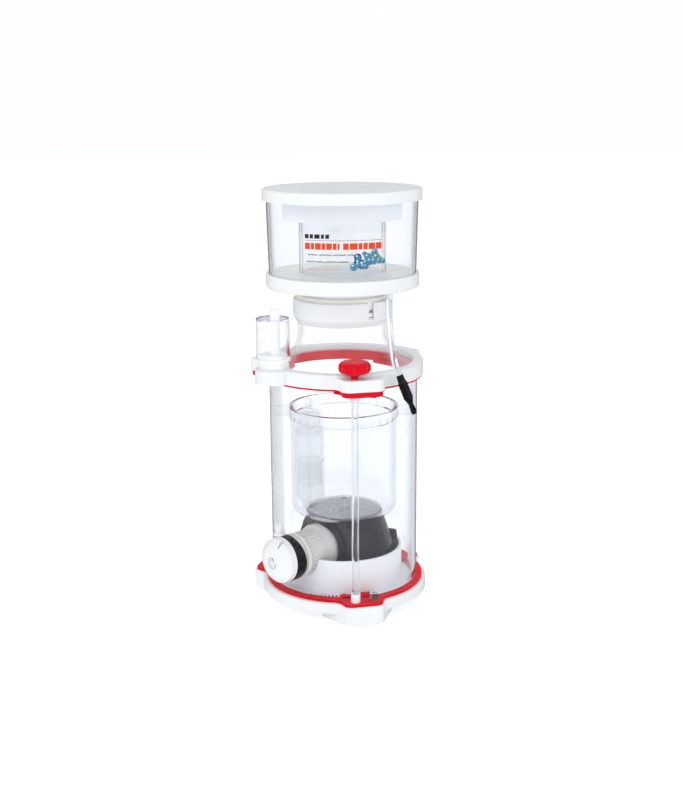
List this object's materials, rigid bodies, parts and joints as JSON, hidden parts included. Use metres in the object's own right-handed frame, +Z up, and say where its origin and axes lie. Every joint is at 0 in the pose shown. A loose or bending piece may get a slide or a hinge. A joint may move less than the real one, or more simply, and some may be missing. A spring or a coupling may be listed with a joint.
{
  "type": "protein skimmer",
  "caption": "Free-standing in-sump protein skimmer with clear body tube, flared neck, lift-off collection cup, pump well, side intake and outlet control knob.",
  "frame": {"origin": "on the axis of the body tube, on the plane that the feet stand on", "axes": "+Z up along the body tube, -Y towards the control knob at the front"},
  "size_m": [0.1803, 0.1851, 0.422],
  "materials": {
    "white": "gloss white ABS",
    "red": "gloss red ABS",
    "clear": "clear acrylic",
    "smoked": "smoked clear plastic",
    "frosted": "translucent white",
    "dark": "satin charcoal",
    "grey": "satin grey",
    "beige": "translucent beige",
    "cream": "cream silicone",
    "rubber": "black rubber",
    "hose": "clear silicone hose",
    "label": "printed film",
    "ceramic": "ground ceramic",
    "steel": "stainless"
  },
  "bodies": {
    "vessel": {"base": "white", "base_flange": "red", "base_screws": "steel", "body_tube": "clear", "bucket": "clear", "cable_gland": "rubber", "centring_tabs": "clear", "cone": "clear", "diffuser_plate": "clear", "impeller_shaft": "ceramic", "inlet_throat": "dark", "intake_ring": "dark", "intake_union": "beige", "outlet_nozzle": "grey", "pump_motor": "dark", "pump_shroud": "dark", "pump_skirt": "white", "shaft_bushes": "white", "silencer_base": "frosted", "standpipe": "clear", "top_flange": "red", "top_ring": "white", "top_screws": "steel", "volute": "dark", "volute_cover": "smoked", "wall_seal": "cream", "air_nipple": "frosted", "air_tube": "clear", "air_stem": "frosted"},
    "cup": {"cup_base": "white", "cup_floor": "cream", "riser_tube": "clear", "cup_wall": "clear", "cup_label": "label", "neck_seal": "cream", "drain_nipple": "white", "drain_hose": "hose", "drain_plug": "rubber"},
    "lid": {"lid": "white", "splash_ring": "frosted"},
    "lock_collar": {"bayonet_collar": "white"},
    "control": {"control_knob": "red", "control_shaft": "clear", "outlet_gate": "white"},
    "regulator": {"intake_cap": "white"},
    "rotor": {"impeller": "white", "rotor_magnet": "dark"},
    "level_sleeve": {"standpipe_sleeve": "clear", "standpipe_cap": "frosted"},
    "silencer": {"silencer_chamber": "clear"}
  },
  "joints": [
    {"name": "cup_lift", "type": "slide", "parent": "vessel", "child": "cup", "axis": [0, 0, 1], "range_m": [0, 0.08]},
    {"name": "lid_lift", "type": "slide", "parent": "cup", "child": "lid", "axis": [0, 0, 1], "range_m": [0, 0.05]},
    {"name": "collar_turn", "type": "hinge", "parent": "vessel", "child": "lock_collar", "pos_m": [0, 0, 0.3], "axis": [0, 0, 1], "range_deg": [0, 10]},
    {"name": "gate_turn", "type": "hinge", "parent": "vessel", "child": "control", "pos_m": [0.01084, -0.08461, 0.26], "axis": [0, 0, 1], "range_deg": [0, 90]},
    {"name": "intake_turn", "type": "hinge", "parent": "vessel", "child": "regulator", "pos_m": [-0.06688, -0.06022, 0.057], "axis": [-0.7431, -0.6691, 0], "range_deg": [0, 90]},
    {"name": "impeller_spin", "type": "hinge", "parent": "vessel", "child": "rotor", "pos_m": [0, 0, 0.057], "axis": [-0.7431, -0.6691, 0], "continuous": true},
    {"name": "sleeve_slide", "type": "slide", "parent": "vessel", "child": "level_sleeve", "axis": [0, 0, 1], "range_m": [0, 0.015]},
    {"name": "silencer_lift", "type": "slide", "parent": "vessel", "child": "silencer", "axis": [0, 0, 1], "range_m": [0, 0.02]}
  ]
}
